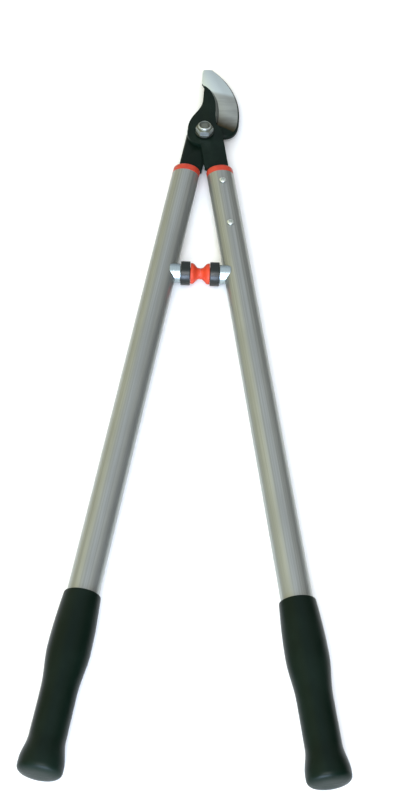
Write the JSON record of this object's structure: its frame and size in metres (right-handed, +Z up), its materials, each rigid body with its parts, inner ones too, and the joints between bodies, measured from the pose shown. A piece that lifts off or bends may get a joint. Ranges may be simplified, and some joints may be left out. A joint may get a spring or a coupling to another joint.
{
  "type": "bypass lopper",
  "caption": "Long-handled bypass lopper: curved cutting blade and hook on a pivot bolt, oval tube handles with red collars, rubber-tipped bumpers and moulded grips.",
  "frame": {"origin": "the middle of the closed tool's footprint, on the surface that it lies on", "axes": "+Z up, out of the flat tool's front, +Y along the tool from the grips to the jaws, +X to the handle that carries the cutting blade"},
  "size_m": [0.2866, 0.8916, 0.0342],
  "materials": {
    "blade_coating": "black low-friction coating, ground bright along the edge",
    "hook_steel": "ground bright towards the jaws, black elsewhere",
    "zinc_plate": "zinc plated, dull",
    "bush": "plain",
    "tube": "satin anodised",
    "collar": "moulded",
    "bumper_rubber": "matt",
    "black_plastic": "moulded",
    "grip_rubber": "moulded, matt"
  },
  "bodies": {
    "left_arm": {"counter_blade": "hook_steel", "pivot_bolt": "zinc_plate", "pivot_nut": "zinc_plate", "pivot_washer_front": "zinc_plate", "pivot_washer_back": "zinc_plate", "left_tube": "tube", "left_collar": "collar", "left_tang_screw_1": "zinc_plate", "left_tang_screw_2": "zinc_plate", "left_bumper_seat": "zinc_plate", "left_bumper_holder": "black_plastic", "left_bumper_tip": "bumper_rubber", "left_bumper_screw": "zinc_plate", "left_bumper_nut": "zinc_plate", "left_grip": "grip_rubber"},
    "right_arm": {"cutting_blade": "blade_coating", "pivot_bush": "bush", "right_tube": "tube", "right_collar": "collar", "right_tang_screw_1": "zinc_plate", "right_tang_screw_2": "zinc_plate", "right_bumper_seat": "zinc_plate", "right_bumper_holder": "black_plastic", "right_bumper_tip": "bumper_rubber", "right_bumper_screw": "zinc_plate", "right_bumper_nut": "zinc_plate", "right_grip": "grip_rubber"}
  },
  "joints": [
    {"name": "jaw_pivot", "type": "hinge", "parent": "left_arm", "child": "right_arm", "pos_m": [0, 0.33359, 0.017], "axis": [0, 0, 1], "range_deg": [0, 60]}
  ]
}
